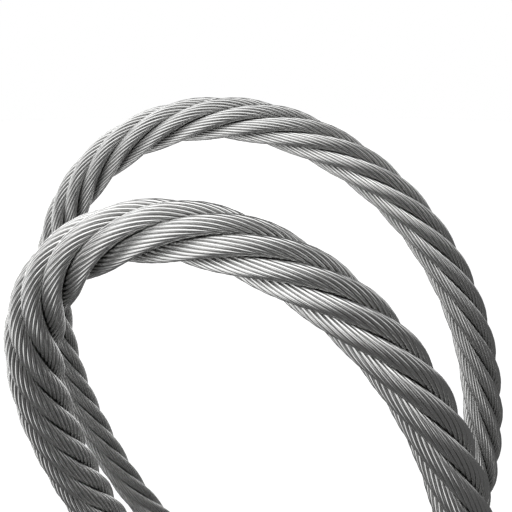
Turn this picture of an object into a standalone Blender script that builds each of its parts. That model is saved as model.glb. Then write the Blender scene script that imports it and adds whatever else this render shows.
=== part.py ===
"""Loose coil of stranded steel wire rope, standing on its edge.

The rope is a core strand with six strands laid round it in a left-hand helix. It makes two
oval turns, a large one behind and a narrower one in front. Each turn touches the floor at its
lowest point, and the cut ends run out along the floor as short straight tails.

Lengths are in metres. X points right, Y points away from the front turn, and Z points up.
"""

import math

import bmesh
import bpy
import numpy as np
from mathutils import Vector

# Rope
ROPE_DIAMETER = 0.010
ROPE_LENGTH = 1.000
STRANDS = 6
SIDE_GAP = 0.0003
CORE_GAP = 0.0003

# Lay of the strands: the length of rope in which a strand goes once round, and where it changes
LEG_LAY = 0.0900
BACK_LAY = 0.0690
FRONT_LAY = 0.0561
LEG_LAY_END = 0.35 * math.pi
BACK_LAY_START = 0.60 * math.pi
LAY_START = math.radians(-1)

# Back turn: a broad oval that leans a little to the left at its top
BACK_HALF_WIDTH = 0.0645
BACK_HALF_HEIGHT = 0.0980
BACK_SIDE = -0.0017
BACK_BROADENING = 0.11
BACK_SWAY = -0.108
BACK_FLOOR_BEND = 0.040

# Front turn: a narrow oval, broader in its upper half
FRONT_HALF_WIDTH = 0.0370
FRONT_HALF_HEIGHT = 0.0915
FRONT_SIDE = 0.0027
FRONT_BROADENING = 0.45
FRONT_SWAY = -0.193
FRONT_FLOOR_BEND = 0.036

# The coil as a whole
TURN_PITCH = 0.0470
BLEND_START = 1.45 * math.pi
BLEND_END = 2.65 * math.pi
BACK_TAIL = 0.0100

# Fineness of the solids
POINTS_PER_LAY = 8
ROUTE_SAMPLES = 4000
WELD_DISTANCE = 0.00001


def clear_scene():
    for old in list(bpy.data.objects):
        bpy.data.objects.remove(old)


def eased(turn_angle, start, end):
    """A smooth step that is 0 up to the start and 1 from the end on."""
    share = np.clip((turn_angle - start) / (end - start), 0, 1)
    return share * share * (3 - 2 * share)


def oval_points(turn_angle):
    """Centreline of the two turns. The angle is 0 at the back turn's lowest point, pi at its
    top, 2 pi at the floor between the turns and 4 pi at the front turn's lowest point."""
    share = eased(turn_angle, BLEND_START, BLEND_END)

    def shared(back, front):
        return back * (1 - share) + front * share

    half_width = shared(BACK_HALF_WIDTH, FRONT_HALF_WIDTH)
    half_height = shared(BACK_HALF_HEIGHT, FRONT_HALF_HEIGHT)
    broadening = shared(BACK_BROADENING, FRONT_BROADENING)
    floor_bend = shared(BACK_FLOOR_BEND, FRONT_FLOOR_BEND)
    sway = shared(BACK_SWAY, FRONT_SWAY)
    across = -np.sin(turn_angle)
    height = -np.cos(turn_angle)
    above = np.maximum(height, 0)
    below = np.maximum(-height, 0)
    # The lower half is widened until the bend at the floor has the radius asked for.
    fullness = np.sqrt(floor_bend * half_height) / half_width - 1 + broadening
    width = half_width * (1 + broadening * height + fullness * below**2)
    leaning = sway * half_height * (above - below * (1 - below))
    x = shared(BACK_SIDE, FRONT_SIDE) + width * across + leaning
    y = -TURN_PITCH * turn_angle / (2 * math.pi)
    z = ROPE_DIAMETER / 2 + half_height * (1 + height)
    return np.stack([x, y, z], axis=1)


def turns_laid(points, turn_angle):
    """How often the strands have gone round the rope at each point, from the back turn's top.

    The lay is longest in the back turn's left leg and shortest in the front turn."""
    past_leg = eased(turn_angle, LEG_LAY_END, BACK_LAY_START)
    share = eased(turn_angle, BLEND_START, BLEND_END)
    lay = LEG_LAY + (BACK_LAY - LEG_LAY) * past_leg + (FRONT_LAY - BACK_LAY) * share
    lay = np.pad(lay, 1, mode="edge")
    steps = np.linalg.norm(np.diff(points, axis=0), axis=1)
    laid = np.concatenate([[0], np.cumsum(2 * steps / (lay[1:] + lay[:-1]))])
    return laid - np.interp(math.pi, turn_angle, laid[1:-1])


def with_tails(turns, back_length, front_length):
    """The turns with a straight tail on each end, which carries on the way the rope points."""
    back_way = turns[0] - turns[1]
    front_way = turns[-1] - turns[-2]
    for way in (back_way, front_way):
        way[2] = 0
        way /= np.linalg.norm(way)
    back_end = turns[0] + back_way * back_length
    front_end = turns[-1] + front_way * front_length
    return np.concatenate([[back_end], turns, [front_end]])


def evenly_spaced(points, laid, start, end, spacing):
    """Points at equal steps along the line, from start to end, and the turns laid at each."""
    steps = np.linalg.norm(np.diff(points, axis=0), axis=1)
    distance = np.concatenate([[0], np.cumsum(steps)])
    count = math.ceil((end - start) / spacing) + 1
    stations = np.linspace(start, end, count)
    columns = [np.interp(stations, distance, points[:, axis]) for axis in range(3)]
    return np.stack(columns, axis=1), np.interp(stations, distance, laid)


def unit_rows(vectors):
    return vectors / np.linalg.norm(vectors, axis=1)[:, None]


def centring_shift(points):
    """The move that puts the middle of the rope's outline over the origin."""
    tangents = unit_rows(np.gradient(points, axis=0))
    reach = ROPE_DIAMETER / 2 * np.sqrt(np.maximum(1 - tangents**2, 0))
    middle = ((points - reach).min(axis=0) + (points + reach).max(axis=0)) / 2
    return np.array([-middle[0], -middle[1], 0])


def shortest_lay():
    return min(LEG_LAY, BACK_LAY, FRONT_LAY)


def strand_sizes():
    """Strand diameter, and the radius of the helix that its centre follows.

    The strands fill the ring between the core and the rope's outside. Cut across, a strand is
    wider than its diameter because it runs at the lay angle, and neighbours keep SIDE_GAP
    where the lay is shortest."""
    radius = ROPE_DIAMETER / 3
    for _ in range(20):
        lay_angle = math.atan(2 * math.pi * radius / shortest_lay())
        spacing = 2 * math.sin(math.pi / STRANDS) * math.cos(lay_angle)
        spacing *= math.cos(math.pi / POINTS_PER_LAY)
        diameter = (ROPE_DIAMETER / 2 * spacing - SIDE_GAP) / (1 + spacing / 2)
        radius = (ROPE_DIAMETER - diameter) / 2
    return diameter, radius


def strand_points(rope, laid, index, radius):
    """Centreline of one strand: a left-hand helix round the rope's centreline."""
    along = unit_rows(np.gradient(rope, axis=0))
    coil_axis = np.array([0.0, 1.0, 0.0])
    sideways = unit_rows(coil_axis - along * (along @ coil_axis)[:, None])
    inwards = np.cross(along, sideways)
    angle = LAY_START + 2 * math.pi * (index / STRANDS - laid)
    return rope + radius * (np.cos(angle)[:, None] * sideways + np.sin(angle)[:, None] * inwards)


def steel(name, colour, roughness):
    material = bpy.data.materials.new(name)
    material.use_nodes = True
    shader = material.node_tree.nodes["Principled BSDF"]
    shader.inputs["Base Color"].default_value = (*colour, 1)
    shader.inputs["Metallic"].default_value = 1
    shader.inputs["Roughness"].default_value = roughness
    return material


def tube_curve(name, points, diameter):
    curve = bpy.data.curves.new(name, "CURVE")
    curve.dimensions = "3D"
    curve.bevel_depth = diameter / 2
    curve.bevel_resolution = 2
    curve.use_fill_caps = True
    spline = curve.splines.new("POLY")
    spline.points.add(len(points) - 1)
    for point, place in zip(spline.points, points):
        point.co = (*place, 1)
    return bpy.data.objects.new(name, curve)


def cut_square(mesh, end, outward, reach):
    """Cuts off what lies past the plane through end, within reach of it, and closes the cut."""
    near = [vert for vert in mesh.verts if (vert.co - end).length < reach]
    chosen = set(near)
    edges = [edge for edge in mesh.edges if chosen.issuperset(edge.verts)]
    faces = [face for face in mesh.faces if chosen.issuperset(face.verts)]
    bmesh.ops.bisect_plane(
        mesh,
        geom=near + edges + faces,
        plane_co=end,
        plane_no=outward,
        clear_outer=True,
    )
    rim = [edge for edge in mesh.edges if edge.is_boundary]
    bmesh.ops.holes_fill(mesh, edges=rim)


def add_tube(collection, name, points, diameter, ends, reach, material):
    """A round tube along the points, cut square to the rope at both of its ends."""
    curve = tube_curve(name + "_curve", points, diameter)
    collection.objects.link(curve)
    graph = bpy.context.evaluated_depsgraph_get()
    data = bpy.data.meshes.new_from_object(curve.evaluated_get(graph))
    matrix = curve.matrix_world.copy()
    bpy.data.objects.remove(curve)
    mesh = bmesh.new()
    mesh.from_mesh(data)
    bmesh.ops.remove_doubles(mesh, verts=mesh.verts, dist=WELD_DISTANCE)
    for end, outward in ends:
        cut_square(mesh, Vector(end), Vector(outward), reach)
    bmesh.ops.recalc_face_normals(mesh, faces=mesh.faces)
    mesh.to_mesh(data)
    mesh.free()
    data.materials.clear()
    data.materials.append(material)
    data.shade_smooth()
    data.set_sharp_from_angle(angle=math.radians(60))
    tube = bpy.data.objects.new(name, data)
    tube.matrix_world = matrix
    collection.objects.link(tube)
    return tube


def build():
    clear_scene()
    collection = bpy.data.collections.new("wire_rope_coil")
    bpy.context.scene.collection.children.link(collection)
    turn_angle = np.linspace(0, 4 * math.pi, ROUTE_SAMPLES)
    turns = oval_points(turn_angle)
    spacing = shortest_lay() / POINTS_PER_LAY
    # The front tail is more than long enough here, and the rope's length says where it ends.
    route = with_tails(turns, BACK_TAIL + spacing, ROPE_LENGTH)
    route_laid = turns_laid(route, turn_angle)
    last = spacing + ROPE_LENGTH
    finished, _ = evenly_spaced(route, route_laid, spacing, last, spacing)
    shift = centring_shift(finished)
    ends = []
    for end, before in ((finished[0], finished[1]), (finished[-1], finished[-2])):
        ends.append((end + shift, (end - before) / np.linalg.norm(end - before)))
    # The rope is left long by one step at each end and then cut back square.
    rope, laid = evenly_spaced(route, route_laid, 0, last + spacing, spacing)
    rope = rope + shift
    reach = 2 * spacing + ROPE_DIAMETER
    strand_diameter, helix_radius = strand_sizes()
    core_room = helix_radius * math.cos(math.pi / POINTS_PER_LAY) - CORE_GAP
    core_diameter = 2 * core_room - strand_diameter
    strand_steel = steel("strand_steel", (0.56, 0.57, 0.57), 0.3)
    core_steel = steel("core_steel", (0.48, 0.48, 0.47), 0.4)
    for index in range(STRANDS):
        points = strand_points(rope, laid, index, helix_radius)
        name = f"strand_{index + 1}"
        add_tube(collection, name, points, strand_diameter, ends, reach, strand_steel)
    add_tube(collection, "core_strand", rope, core_diameter, ends, reach, core_steel)
    length = np.linalg.norm(np.diff(finished, axis=0), axis=1).sum()
    print(f"rope {length:.4f} m, strands {strand_diameter * 1000:.2f} mm")
    print(f"helix radius {helix_radius * 1000:.2f} mm, core {core_diameter * 1000:.2f} mm")
    for end, outward in ends:
        print("end at", np.round(end, 5), "pointing", np.round(outward, 5))


build()
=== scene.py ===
# %% [markdown]
# # A coil of wire rope
#
# The object is a loose coil of bright steel wire rope that stands on its edge. Six strands
# are laid left-handed round a core, and twelve wires show on the outside of every strand.
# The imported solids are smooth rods. This script dresses each of them with a surface that
# has every outer wire in it, gives it drawn steel, and sets up the floor, light and camera.

import functools
import math

import bpy
import numpy as np
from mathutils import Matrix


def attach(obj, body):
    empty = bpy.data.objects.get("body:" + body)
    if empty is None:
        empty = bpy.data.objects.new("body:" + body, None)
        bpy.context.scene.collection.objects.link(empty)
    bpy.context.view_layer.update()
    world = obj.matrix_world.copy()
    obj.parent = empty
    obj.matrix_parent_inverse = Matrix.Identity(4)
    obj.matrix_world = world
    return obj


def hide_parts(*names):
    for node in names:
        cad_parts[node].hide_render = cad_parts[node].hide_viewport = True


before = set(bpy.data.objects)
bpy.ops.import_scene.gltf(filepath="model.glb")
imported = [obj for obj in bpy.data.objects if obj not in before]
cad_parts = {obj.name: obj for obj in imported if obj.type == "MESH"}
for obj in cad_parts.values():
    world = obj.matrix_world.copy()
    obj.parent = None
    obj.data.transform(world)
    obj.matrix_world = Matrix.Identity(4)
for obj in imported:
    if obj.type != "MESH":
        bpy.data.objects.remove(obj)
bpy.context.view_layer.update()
print("solids:", ", ".join(sorted(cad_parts)))

# %% [markdown]
# ## The camera
#
# The camera stands a little above the top of the front turn and looks down on the coil, so
# the near turn comes out larger than the far one. It could be aimed by eye, but both turns
# then drift apart. Its place and lens were worked out from the outlines of both turns.

# %% Camera
LENS = 30.0
SENSOR = 36.0
CAMERA_PLACE = (0.0029, -0.0837, 0.2085)
LOOK_DOWN = 0.381
LOOK_LEFT = 0.034

camera = bpy.data.objects.new("camera", bpy.data.cameras.new("camera"))
camera.data.lens = LENS
camera.data.sensor_width = SENSOR
camera.data.clip_start = 0.005
camera.location = CAMERA_PLACE
camera.rotation_euler = (math.pi / 2 - LOOK_DOWN, 0, LOOK_LEFT)
bpy.context.scene.collection.objects.link(camera)
bpy.context.scene.camera = camera
print("camera looks down", round(math.degrees(LOOK_DOWN), 1), "degrees")

# %% [markdown]
# ## The rope's route
#
# The real rope is springy: let go, it opens into ovals of its own. The route could be drawn
# point by point, but then nothing could be changed later. Here each turn is an oval with a
# few sizes, and the rope goes over smoothly from the back oval's sizes to the front one's.

# %% Sizes of the route
ROPE_DIAMETER = 0.010
ROPE_LENGTH = 1.000

BACK_HALF_WIDTH = 0.0645
BACK_HALF_HEIGHT = 0.0980
BACK_SIDE = -0.0017
BACK_BROADENING = 0.11
BACK_SWAY = -0.108
BACK_FLOOR_BEND = 0.040

FRONT_HALF_WIDTH = 0.0370
FRONT_HALF_HEIGHT = 0.0915
FRONT_SIDE = 0.0027
FRONT_BROADENING = 0.45
FRONT_SWAY = -0.193
FRONT_FLOOR_BEND = 0.036

TURN_PITCH = 0.0470
BLEND_START = 1.45 * math.pi
BLEND_END = 2.65 * math.pi
BACK_TAIL = 0.0100
ROUTE_SAMPLES = 4000


# %% Route
def unit_rows(vectors):
    """Each row divided by its own length."""
    return vectors / np.linalg.norm(vectors, axis=1)[:, None]


def eased(turn_angle, start, end):
    """An S-shaped step: 0 up to the start, 1 from the end on."""
    share = np.clip((turn_angle - start) / (end - start), 0, 1)
    return share * share * (3 - 2 * share)


def oval_points(turn_angle):
    """Centreline of the two turns, for angles from 0 to 4 pi.

    Across is the half width times minus the sine of the angle, plus a sway that grows with
    height. Up is the half height times one minus the cosine. The coil moves forwards by the
    pitch on each turn, and every size is shared between the two ovals."""
    share = eased(turn_angle, BLEND_START, BLEND_END)

    def shared(back, front):
        return back * (1 - share) + front * share

    half_width = shared(BACK_HALF_WIDTH, FRONT_HALF_WIDTH)
    half_height = shared(BACK_HALF_HEIGHT, FRONT_HALF_HEIGHT)
    broadening = shared(BACK_BROADENING, FRONT_BROADENING)
    floor_bend = shared(BACK_FLOOR_BEND, FRONT_FLOOR_BEND)
    sway = shared(BACK_SWAY, FRONT_SWAY)
    height = -np.cos(turn_angle)
    above = np.maximum(height, 0)
    below = np.maximum(-height, 0)
    fullness = np.sqrt(floor_bend * half_height) / half_width - 1 + broadening
    width = half_width * (1 + broadening * height + fullness * below**2)
    leaning = sway * half_height * (above - below * (1 - below))
    x = shared(BACK_SIDE, FRONT_SIDE) - width * np.sin(turn_angle) + leaning
    y = -TURN_PITCH * turn_angle / (2 * math.pi)
    z = ROPE_DIAMETER / 2 + half_height * (1 + height)
    return np.stack([x, y, z], axis=1)


def with_tails(turns):
    """The turns with a straight level tail on each end, the way the rope points there.

    The front tail is more than long enough: the rope's length says where it is cut."""
    ends = []
    for last, before, length in (
        (turns[0], turns[1], BACK_TAIL),
        (turns[-1], turns[-2], ROPE_LENGTH),
    ):
        way = last - before
        way[2] = 0
        ends.append(last + way * length / np.linalg.norm(way))
    return np.concatenate([ends[:1], turns, ends[1:]])


# %% [markdown]
# ## The lay of the strands
#
# Lay length is the length of rope in which a strand goes once round. Coiling a rope by hand
# twists it too, so the strands lie longer in the back turn's left leg and shorter in the
# small front turn. The turns laid are the running sum of each step's length divided by the
# lay length there, counted from the top of the back turn.

# %% Lay
STRANDS = 6
LEG_LAY = 0.0900
BACK_LAY = 0.0690
FRONT_LAY = 0.0561
LEG_LAY_END = 0.35 * math.pi
BACK_LAY_START = 0.60 * math.pi
LAY_START = math.radians(-1)
ROW_SPACING = 0.00100
WIRE_PROUD = 0.0002

turn_angle = np.linspace(0, 4 * math.pi, ROUTE_SAMPLES)
route = with_tails(oval_points(turn_angle))
past_leg = eased(turn_angle, LEG_LAY_END, BACK_LAY_START)
share = eased(turn_angle, BLEND_START, BLEND_END)
lays = LEG_LAY + (BACK_LAY - LEG_LAY) * past_leg + (FRONT_LAY - BACK_LAY) * share
lays = np.pad(lays, 1, mode="edge")
steps = np.linalg.norm(np.diff(route, axis=0), axis=1)
distance = np.concatenate([[0], np.cumsum(steps)])
turns_laid = np.concatenate([[0], np.cumsum(steps * 2 / (lays[1:] + lays[:-1]))])
turns_laid -= np.interp(math.pi, turn_angle, turns_laid[1:-1])

row_count = math.ceil(ROPE_LENGTH / ROW_SPACING) + 1
stations = np.linspace(WIRE_PROUD, ROPE_LENGTH - WIRE_PROUD, row_count)
rope = np.stack([np.interp(stations, distance, route[:, axis]) for axis in range(3)], axis=1)
laid = np.interp(stations, distance, turns_laid)
lay = np.interp(stations, distance, lays)
along = unit_rows(np.gradient(rope, axis=0))
reach = ROPE_DIAMETER / 2 * np.sqrt(np.maximum(1 - along**2, 0))
middle = ((rope - reach).min(axis=0) + (rope + reach).max(axis=0)) / 2
rope -= middle * (1, 1, 0)
print("rope length", ROPE_LENGTH, "m, strand turns", round(laid[-1] - laid[0], 2))

# %% Directions across the rope
coil_axis = np.array([0.0, 1.0, 0.0])
sideways = unit_rows(coil_axis - along * (along @ coil_axis)[:, None])
inwards = np.cross(along, sideways)
EVERY_ROW = slice(None)


def across_rope(x, y, rows=EVERY_ROW):
    """Points beside the rope: the centreline plus x sideways plus y inwards, row by row."""
    offsets = x[..., None] * sideways[rows, None] + y[..., None] * inwards[rows, None]
    return rope[rows, None] + offsets


# %% [markdown]
# ## The shape of a strand
#
# A strand is a bundle of wires. Only the outer twelve show, and each shows a little less
# than half of its round. They could be 72 separate tubes, but hidden halves would only cost
# faces. One surface with a scalloped outline shows the same, and its columns of faces run
# along the wires, so that every highlight follows its wire.

# %% Scalloped outline
WIRES = 12
WIRE_RADIUS = 0.000331
STRAND_RADIUS = 0.00158
POINTS_PER_WIRE = 6
WIRE_TURNS = 3.0
HELIX_RADIUS = ROPE_DIAMETER / 2 - STRAND_RADIUS
SETTLING_ROUNDS = 4


def scallops(wires, wire_radius, outer_radius, points):
    """Radius, angle and roundness of an outline made of arcs, one arc a wire.

    Each arc is a part of the wire's circle, whose centre lies on a ring. Neighbouring arcs
    meet halfway between the two wires. Roundness is 1 on the wire's crown and 0 where the
    arcs meet."""
    ring = outer_radius - wire_radius
    half = math.pi / wires
    valley = ring * math.cos(half) + math.sqrt(wire_radius**2 - (ring * math.sin(half)) ** 2)
    widest = math.atan2(valley * math.sin(half), valley * math.cos(half) - ring)
    turned = np.linspace(-widest, widest, points + 1)[:-1]
    out = ring + wire_radius * np.cos(turned)
    side = wire_radius * np.sin(turned)
    centres = 2 * math.pi * np.arange(wires) / wires
    radius = np.tile(np.hypot(out, side), wires)
    angle = (centres[:, None] + np.arctan2(side, out)).ravel()
    return radius, angle, np.tile(np.cos(turned / widest * math.pi / 2), wires)


# %% Section of a strand
def strand_section(index, radius, angle, rows=EVERY_ROW):
    """Places of a strand's outline points, in rope rows that are cut square to the rope.

    The strand's centre goes round the rope left-handed by the turns laid. The wires go round
    the strand the other way, several times as fast. The strand runs at a slope, so a point
    that lies to its side by w belongs to a place further back by w times the slope's sine,
    and both angles are taken from there. A few rounds settle the angle, which depends on w."""
    rate = 2 * math.pi / lay[rows, None]
    slope = np.arctan(rate * HELIX_RADIUS)
    place = LAY_START + 2 * math.pi * (index / STRANDS - laid[rows, None])
    start = angle + 2 * math.pi * WIRE_TURNS * laid[rows, None]
    turned = start
    for _ in range(SETTLING_ROUNDS):
        side = radius * np.sin(turned)
        behind = rate * side * np.sin(slope)
        turned = start - WIRE_TURNS * behind
    out = HELIX_RADIUS + radius * np.cos(turned)
    side = side * np.cos(slope)
    place = place + behind
    x = out * np.cos(place) - side * np.sin(place)
    y = out * np.sin(place) + side * np.cos(place)
    return x, y


# %% [markdown]
# ## Wires are never quite even
#
# Machines lay wires well, but each one still stands about a hundredth of a millimetre higher
# or lower and wanders a little to the side. Random dents would look like damage. Slow waves
# of different lengths, one set a wire, keep every line smooth.

# %% Unevenness
WAVE_LENGTHS = (0.020, 0.070)
WAVES_PER_WIRE = 3
WIRE_RISE = 0.000016
WIRE_WANDER = 0.045
chance = np.random.default_rng(7)


def slow_waves(count):
    """One column a wire: the mean of a few sine waves of random length and start."""
    shape = (WAVES_PER_WIRE, 1, count)
    length = chance.uniform(*WAVE_LENGTHS, shape)
    start = chance.uniform(0, 2 * math.pi, shape)
    return np.sin(2 * math.pi * stations[None, :, None] / length + start).mean(axis=0)


# %% [markdown]
# ## Cut ends
#
# The rope was cut square with a disc. At each end the wires stand side by side in rings:
# one in the middle, six round it, then the twelve that show along the rope. A painted
# pattern would look flat from close by, so each wire's end is a short pin, and the strand's
# own surface stops a little short of it.

# %% End pins
PIN_POINTS = 10
PIN_SUNK = 0.00006
PIN_BEVEL = 0.00003
# How far in each circle of a pin is drawn, and how high it lies
PIN_LEVELS = ((0.0, -PIN_SUNK), (0.0, WIRE_PROUD - PIN_BEVEL), (PIN_BEVEL, WIRE_PROUD))
# Wires in a ring, the ring's radius, how far on it starts (1 is the next wire's place), and
# the radius of a wire
STRAND_RINGS = (
    (1, 0.0, 0.0, 0.00031),
    (6, 0.000635, 0.5, 0.00030),
    (12, 0.001245, 0.0, 0.00031),
)


def pin_circles(rings, shrink, turning):
    """Radius and angle, about the strand's middle, of the points round every pin."""
    round_pin = turning * 2 * math.pi * np.arange(PIN_POINTS) / PIN_POINTS
    out, side = [], []
    for count, ring, offset, pin_radius in rings:
        centre = 2 * math.pi * (np.arange(count)[:, None] + offset) / count
        size = pin_radius - shrink
        out.append(ring * np.cos(centre) + size * np.cos(round_pin))
        side.append(ring * np.sin(centre) + size * np.sin(round_pin))
    out, side = np.concatenate(out), np.concatenate(side)
    return np.hypot(out, side).ravel(), np.arctan2(side, out).ravel()


def end_pins(section, rings, row, turning):
    """Points of the pins at one end, and their faces as quads and triangles.

    A pin is a stack of circles: sunk in the strand, up to the bevel, and in by the bevel.
    A point in the middle closes it above and below."""
    circles = []
    for shrink, height in PIN_LEVELS:
        radius, angle = pin_circles(rings, shrink, turning)
        x, y = section(radius, angle, slice(row, row + 1))
        beside = across_rope(x, y, slice(row, row + 1))[0]
        circles.append(beside + turning * height * along[row])
    circles = np.stack(circles).reshape(len(PIN_LEVELS), -1, PIN_POINTS, 3)
    count = circles.shape[1]
    middles = circles[[0, -1]].mean(axis=2)
    points = np.concatenate([circles.reshape(-1, 3), middles.reshape(-1, 3)])
    pin = np.arange(count)[:, None] * PIN_POINTS
    here = pin + np.arange(PIN_POINTS)
    there = pin + (np.arange(PIN_POINTS) + 1) % PIN_POINTS
    level = count * PIN_POINTS
    sides = [
        np.stack([base + here, base + there, base + level + there, base + level + here], -1)
        for base in (0, level)
    ]
    below = np.broadcast_to(len(PIN_LEVELS) * level + np.arange(count)[:, None], here.shape)
    under = np.stack([there, here, below], -1)
    over = np.stack([2 * level + here, 2 * level + there, below + count], -1)
    quads = np.concatenate(sides).reshape(-1, 4)
    return points, quads, np.concatenate([under, over]).reshape(-1, 3)


# %% [markdown]
# ## From grid to mesh
#
# A strand is a grid of points: one row for each place along the rope, one column for each
# point of the outline. The faces join neighbours, the columns close round the strand, and a
# fan of triangles closes each end behind the pins. numpy fills whole arrays, which Blender
# takes as they are.

# %% Mesh from arrays
def tube_faces(rows, columns):
    """Quads between the rows, closed round the columns, and a fan over each end.

    The middle points of the two fans come straight after the grid's points."""
    here = np.arange(columns)
    there = (here + 1) % columns
    row = np.arange(rows - 1)[:, None] * columns
    quads = np.stack([row + here, row + there, row + columns + there, row + columns + here], -1)
    last = (rows - 1) * columns
    middle = np.full(columns, rows * columns)
    first_fan = np.stack([there, here, middle], -1)
    last_fan = np.stack([last + here, last + there, middle + 1], -1)
    return quads.reshape(-1, 4), np.concatenate([first_fan, last_fan])


def mesh_from_arrays(name, vertices, quads, triangles):
    mesh = bpy.data.meshes.new(name)
    mesh.vertices.add(len(vertices))
    mesh.vertices.foreach_set("co", vertices.ravel())
    corners = np.concatenate([quads.ravel(), triangles.ravel()])
    sizes = np.concatenate([np.full(len(quads), 4), np.full(len(triangles), 3)])
    mesh.loops.add(len(corners))
    mesh.loops.foreach_set("vertex_index", corners)
    mesh.polygons.add(len(sizes))
    mesh.polygons.foreach_set("loop_start", np.cumsum(sizes) - sizes)
    mesh.update(calc_edges=True)
    return mesh


def sharpen(mesh, rows, columns, valleys, pin_circle):
    """Marks sharp edges where two wires meet, round both ends and round the pins' bevels.

    The points of the tube come first, then its two middles, then each end's pins: the
    circles of all pins, level by level, and two middles a pin."""
    ends = np.empty(2 * len(mesh.edges), dtype=np.int32)
    mesh.edges.foreach_get("vertices", ends)
    ends = ends.reshape(-1, 2)
    row, column = ends // columns, ends % columns
    valley = (column[:, 0] == column[:, 1]) & np.isin(column[:, 0], valleys)
    level = row[:, 0] == row[:, 1]
    rim = level & np.isin(row[:, 0], (0, rows - 1))
    on_tube = (ends < rows * columns).all(axis=1)
    on_pins = (ends > rows * columns + 1).all(axis=1)
    one_end = len(PIN_LEVELS) * pin_circle + 2 * pin_circle // PIN_POINTS
    circle = (ends - rows * columns - 2) % one_end // pin_circle
    bevel = (circle[:, 0] == circle[:, 1]) & np.isin(circle[:, 0], (1, 2))
    sharp = mesh.attributes.new("sharp_edge", "BOOLEAN", "EDGE")
    sharp.data.foreach_set("value", (valley | rim) & on_tube | bevel & on_pins)


def lay_uv(mesh, rows, columns):
    """A UV map whose U goes once round the strand and whose V is the length in metres."""
    numbers = np.arange(columns + 1) / columns
    across = np.stack([numbers[:-1], numbers[1:], numbers[1:], numbers[:-1]], -1)
    down = np.stack([stations[:-1], stations[:-1], stations[1:], stations[1:]], -1)
    shape = (rows - 1, columns, 4)
    walls = [np.broadcast_to(across, shape), np.broadcast_to(down[:, None], shape)]
    places = np.zeros((len(mesh.loops), 2))
    places[: math.prod(shape)] = np.stack(walls, -1).reshape(-1, 2)
    mesh.uv_layers.new(name="along_wires").data.foreach_set("uv", places.ravel())


def keep_number(mesh, name, values):
    """Keeps one number a vertex, for the material to read. It is 1 on the pins."""
    full = np.ones(len(mesh.vertices))
    full[: values.size] = values.ravel()
    mesh.attributes.new(name, "FLOAT", "POINT").data.foreach_set("value", full)


def wired_piece(name, section, outline, wires, rings, rise, tones):
    """A closed bundle of wires: the tube of its outline, with pins at both ends."""
    radius, angle, roundness = outline
    points_per_wire = radius.size // wires
    wander = np.repeat(WIRE_WANDER * slow_waves(wires), points_per_wire, axis=1)
    lift = np.repeat(rise * slow_waves(wires), points_per_wire, axis=1)
    x, y = section(radius + lift * roundness, angle + wander * roundness, EVERY_ROW)
    grid = across_rope(x, y)
    rows, columns = x.shape
    quads, triangles = tube_faces(rows, columns)
    vertices = [grid.reshape(-1, 3), grid[[0, -1]].mean(axis=1)]
    for row, turning in ((0, -1), (rows - 1, 1)):
        points, pin_quads, pin_triangles = end_pins(section, rings, row, turning)
        before = sum(len(part) for part in vertices)
        vertices.append(points)
        quads = np.concatenate([quads, before + pin_quads])
        triangles = np.concatenate([triangles, before + pin_triangles])
    mesh = mesh_from_arrays(name, np.concatenate(vertices), quads, triangles)
    pin_circle = PIN_POINTS * sum(ring[0] for ring in rings)
    sharpen(mesh, rows, columns, points_per_wire * np.arange(wires), pin_circle)
    lay_uv(mesh, rows, columns)
    keep_number(mesh, "roundness", np.broadcast_to(roundness, x.shape))
    keep_number(mesh, "outwards", np.hypot(x, y) / (ROPE_DIAMETER / 2))
    keep_number(mesh, "tone", np.broadcast_to(np.repeat(tones, points_per_wire), x.shape))
    piece = bpy.data.objects.new(name, mesh)
    bpy.context.scene.collection.objects.link(piece)
    return piece


# %% Strands
outline = scallops(WIRES, WIRE_RADIUS, STRAND_RADIUS, POINTS_PER_WIRE)
strands = []
for index in range(STRANDS):
    section = functools.partial(strand_section, index)
    tones = chance.uniform(0, 1, WIRES)
    name = f"wired_strand_{index + 1}"
    strands.append(wired_piece(name, section, outline, WIRES, STRAND_RINGS, WIRE_RISE, tones))
    centre = np.zeros(1)
    across_rope(*section(centre, centre, EVERY_ROW))[:, 0]
print("strands:", len(strands), "with", len(strands[0].data.polygons), "faces each")

# %% [markdown]
# ## The core
#
# The strands lie on a core that is a strand itself. It shows only at the two cut ends, so
# its wires are coarser and it has fewer points.

# %% Core
CORE_WIRES = 12
CORE_WIRE_RADIUS = 0.00041
CORE_RADIUS = 0.00184
CORE_POINTS = 3
CORE_TURNS = 1.4
CORE_RINGS = (
    (1, 0.0, 0.0, 0.00038),
    (6, 0.00072, 0.0, 0.00033),
    (12, 0.00143, 0.0, 0.00036),
)


def core_section(radius, angle, rows):
    """The core's wires go round it left-handed, a little faster than the strands."""
    turned = angle - 2 * math.pi * CORE_TURNS * laid[rows, None]
    return radius * np.cos(turned), radius * np.sin(turned)


core_outline = scallops(CORE_WIRES, CORE_WIRE_RADIUS, CORE_RADIUS, CORE_POINTS)
tones = chance.uniform(0, 1, CORE_WIRES)
core = wired_piece("wired_core", core_section, core_outline, CORE_WIRES, CORE_RINGS, 0.0, tones)
print("core:", len(core.data.polygons), "faces")


# %% [markdown]
# ## What each piece stands for
#
# Every new surface stands for the solid of the same strand, which is hidden, and moves
# with the root body. A strand isn't fixed to anything: it starts at the back cut end and
# ends bare at the front one.

# %% Pieces and solids
def declare(piece, node):
    """Attaches a piece to the root body and hides the solid it stands for."""
    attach(piece, "root")
    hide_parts(node)


for index, piece in enumerate(strands):
    node = f"strand_{index + 1}"
    declare(piece, node)
declare(core, "core_strand")


# %% [markdown]
# ## Materials as arithmetic
#
# A material is a net of nodes. Sums of masks are easier to read as sums, so a small class
# wraps a socket, and arithmetic on it adds the Math nodes.

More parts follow.
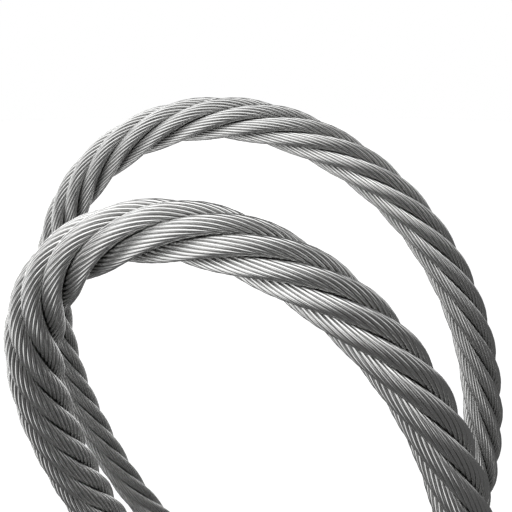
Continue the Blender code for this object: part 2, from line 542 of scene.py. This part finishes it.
# %% Node helpers
class Value:
    """A number that varies over the surface. Arithmetic on it adds Math nodes."""

    def __init__(self, nodes, socket):
        self.nodes = nodes
        self.socket = socket

    def combined(self, operation, first, second):
        return self.nodes.add("ShaderNodeMath", {"operation": operation}, {0: first, 1: second})

    def __add__(self, other):
        return self.combined("ADD", self, other)

    def __mul__(self, other):
        return self.combined("MULTIPLY", self, other)

    def __sub__(self, other):
        return self.combined("SUBTRACT", self, other)

    def __rsub__(self, other):
        return self.combined("SUBTRACT", other, self)

    __radd__ = __add__
    __rmul__ = __mul__

    def between(self, low, high):
        """0 below low, 1 above high, and an S-shaped step between them."""
        settings = {"interpolation_type": "SMOOTHSTEP"}
        inputs = {"Value": self, "From Min": low, "From Max": high}
        return self.nodes.add("ShaderNodeMapRange", settings, inputs)

    def at_most(self, limit):
        """The value itself, or the limit wherever the value is above it."""
        return self.combined("MINIMUM", self, limit)


class Nodes:
    """The node tree of one material or of the world."""

    def __init__(self, owner):
        owner.use_nodes = True
        self.tree = owner.node_tree
        self.tree.nodes.clear()

    def add(self, kind, settings=None, inputs=None, output=0):
        """Adds a node, applies its settings, then its socket values or links."""
        node = self.tree.nodes.new(kind)
        for name, setting in (settings or {}).items():
            setattr(node, name, setting)
        for name, value in (inputs or {}).items():
            if isinstance(value, Value):
                self.tree.links.new(value.socket, node.inputs[name])
            else:
                node.inputs[name].default_value = value
        return Value(self, node.outputs[output]) if node.outputs else None

    def blend(self, share, first, second):
        """A colour that goes from the first to the second as share goes from 0 to 1."""
        inputs = {"Factor": share, 6: first, 7: second}
        return self.add("ShaderNodeMix", {"data_type": "RGBA"}, inputs, output=2)

    def attribute(self, name):
        return self.add("ShaderNodeAttribute", {"attribute_name": name}, output=2)

    def noise(self, vector, scale, detail=2.0, rough=0.5):
        inputs = {"Vector": vector, "Scale": scale, "Detail": detail, "Roughness": rough}
        return self.add("ShaderNodeTexNoise", None, inputs)


# %% [markdown]
# ## Drawn steel
#
# The wires are drawn through dies, which leaves fine lines along them and a satin shine.
# Laying them into a rope leaves small dents and duller stretches, and no two wires are
# quite alike. Where two wires meet and deep between the strands the colour is darkened as
# painted shade, with some grease there too, and loose patches of dirt lie over all. A
# texture stretched along the wires gives the lines and dents, and the numbers kept at each
# vertex give the painted shade and the wires' own tones.

# %% Steel
FINE_LINES = (300.0, 160.0, 1.0)
DENTS = (30.0, 420.0, 1.0)
PATCHES_PER_METRE = 90.0
GROOVE_ROUNDNESS = (0.05, 0.75)
DEPTH_BETWEEN_STRANDS = (0.60, 0.88)
# Painted shade, partly grease: how much darker the grooves and the gaps between strands get; the
# patches are dirt.
GRIME_AND_SHADE = {"groove": 0.5, "deep": 0.2, "patches": 0.3}
WORN = {"tone": 0.18, "dents": 0.25}
ROUGHER = {"lines": 0.10, "dents": 0.12, "grime_and_shade": 0.2, "tone": 0.05}
RELIEF = {"lines": 0.35, "dents": 0.65}
RELIEF_DEPTH = 0.00004
RELIEF_STRENGTH = 0.25


def drawn_steel(name, bright, dull, roughness):
    """Metal whose lines run along the wires, with painted shade in grooves and between strands."""
    material = bpy.data.materials.new(name)
    nodes = Nodes(material)
    crown = nodes.attribute("roundness")
    outwards = nodes.attribute("outwards")
    tone = nodes.attribute("tone")
    place = nodes.add("ShaderNodeUVMap", {"uv_map": "along_wires"})
    stretched = nodes.add("ShaderNodeMapping", None, {"Vector": place, "Scale": FINE_LINES})
    lines = nodes.noise(stretched, 1.0, 3.0, 0.6)
    stretched = nodes.add("ShaderNodeMapping", None, {"Vector": place, "Scale": DENTS})
    dents = nodes.noise(stretched, 1.0, 2.0, 0.5)
    spot = nodes.add("ShaderNodeTexCoord", output=3)
    patches = nodes.noise(spot, PATCHES_PER_METRE, 3.0, 0.55)
    # Painted shade, with some grease: the grooves where wires meet and the deep gaps between
    # strands are darkened.
    groove = 1 - crown.between(*GROOVE_ROUNDNESS)
    deep = 1 - outwards.between(*DEPTH_BETWEEN_STRANDS)
    grime_and_shade = groove * GRIME_AND_SHADE["groove"] + deep * GRIME_AND_SHADE["deep"] + (patches - 0.5) * GRIME_AND_SHADE["patches"]
    grime_and_shade = grime_and_shade.between(0.0, 1.0)
    worn = tone * WORN["tone"] + (dents - 0.5) * WORN["dents"]
    colour = nodes.blend((grime_and_shade + worn).between(0.0, 1.1), bright, dull)
    rough = roughness + (lines - 0.5) * ROUGHER["lines"] + (dents - 0.5) * ROUGHER["dents"]
    rough = rough + grime_and_shade * ROUGHER["grime_and_shade"] + tone * ROUGHER["tone"]
    height = lines * RELIEF["lines"] + dents * RELIEF["dents"]
    bump = nodes.add(
        "ShaderNodeBump",
        None,
        {"Height": height, "Distance": RELIEF_DEPTH, "Strength": RELIEF_STRENGTH},
    )
    shader = nodes.add(
        "ShaderNodeBsdfPrincipled",
        None,
        {"Base Color": colour, "Metallic": 1.0, "Roughness": rough, "Normal": bump},
    )
    nodes.add("ShaderNodeOutputMaterial", None, {"Surface": shader})
    return material


strand_steel = drawn_steel("strand_steel", (0.71, 0.71, 0.702, 1), (0.14, 0.14, 0.137, 1), 0.23)
core_steel = drawn_steel("core_steel", (0.58, 0.58, 0.57, 1), (0.22, 0.22, 0.21, 1), 0.30)
for piece in strands:
    piece.data.materials.append(strand_steel)
core.data.materials.append(core_steel)

# %% [markdown]
# ## Floor
#
# The floor is matt and nearly white, and much larger than the coil, so its edge stays far
# away in every view. It glows a little of its own, as a table of milk glass lit from below
# does, so that it runs into the white behind it without a line.

# %% Floor
FLOOR_RADIUS = 3.0
FLOOR_POINTS = 96
FLOOR_GLOW = 0.5
turns = np.linspace(0, 2 * math.pi, FLOOR_POINTS + 1)[:-1]
rim = np.stack([FLOOR_RADIUS * np.cos(turns), FLOOR_RADIUS * np.sin(turns), 0 * turns], axis=1)
floor_mesh = bpy.data.meshes.new("floor")
floor_mesh.from_pydata(rim.tolist(), [], [list(range(len(rim)))])
floor = bpy.data.objects.new("floor", floor_mesh)
bpy.context.scene.collection.objects.link(floor)

floor_material = bpy.data.materials.new("pale_floor")
nodes = Nodes(floor_material)
mottle = nodes.noise(nodes.add("ShaderNodeTexCoord", output=3), 6.0)
pale = nodes.blend(mottle, (0.86, 0.86, 0.86, 1), (0.9, 0.9, 0.9, 1))
matt = nodes.add(
    "ShaderNodeBsdfPrincipled",
    None,
    {"Base Color": pale, "Roughness": 0.9, "Emission Color": pale, "Emission Strength": FLOOR_GLOW},
)
nodes.add("ShaderNodeOutputMaterial", None, {"Surface": matt})
floor_mesh.materials.append(floor_material)
print("floor:", 2 * FLOOR_RADIUS, "m across")

# %% [markdown]
# ## Light
#
# Bright metal shows what stands round it, so the light is the picture. The coil is lit by
# soft patches of sky, as a studio hangs white panels round a shiny thing. Each is given by
# its height and compass way in degrees, its strength and its half width in degrees. Where
# panels overlap, their light adds up to a limit, so that no glint burns out. The metal
# doesn't mirror the floor, as if the coil had been held up clear of it. Behind all is plain
# white.

# %% Room
PANELS = {
    "left": (30, 230, 1.79, 22.5),
    "high_left": (40, 236, 1.65, 33.5),
    "high_front": (50, 289, 1.5, 25),
    "right": (25, 2, 0.93, 22.5),
    "back_left": (7, 140, 2.38, 37),
    "low_back_left": (-14, 156, 1.88, 27),
    "back": (-14, 89, 1.63, 27.5),
    "low_left": (-24, 231, 1.33, 22),
}
# A panel shines in full up to MIDDLE times its half width and has faded out at EDGE times
EDGE = 1.3
MIDDLE = 0.35
ROOM_GLOW = 0.108
BRIGHTEST = 1.85
BACKGROUND = 1.0

world = bpy.data.worlds.new("studio")
bpy.context.scene.world = world
nodes = Nodes(world)
way = nodes.add("ShaderNodeTexCoord", output=0)
glow = ROOM_GLOW
for height, compass, strength, width in PANELS.values():
    up, turn = math.radians(height), math.radians(compass)
    towards = (math.cos(up) * math.cos(turn), math.cos(up) * math.sin(turn), math.sin(up))
    facing = nodes.add(
        "ShaderNodeVectorMath", {"operation": "DOT_PRODUCT"}, {0: way, 1: towards}, output=1
    )
    rim, heart = math.cos(math.radians(width * EDGE)), math.cos(math.radians(width * MIDDLE))
    glow = glow + facing.between(rim, heart) * strength
# The first output of Light Path is 1 where the camera looks straight at the background.
seen = nodes.add("ShaderNodeLightPath", output=0)
shown = seen * BACKGROUND + (1 - seen) * glow.at_most(BRIGHTEST)
background = nodes.add("ShaderNodeBackground", None, {"Color": (1, 1, 1, 1), "Strength": shown})
nodes.add("ShaderNodeOutputWorld", None, {"Surface": background})
floor.visible_glossy = False
print("panels:", len(PANELS))

# %% [markdown]
# ## Finish
#
# The Standard view transform keeps white white.

# %% Finish
bpy.context.scene.view_settings.view_transform = "Standard"
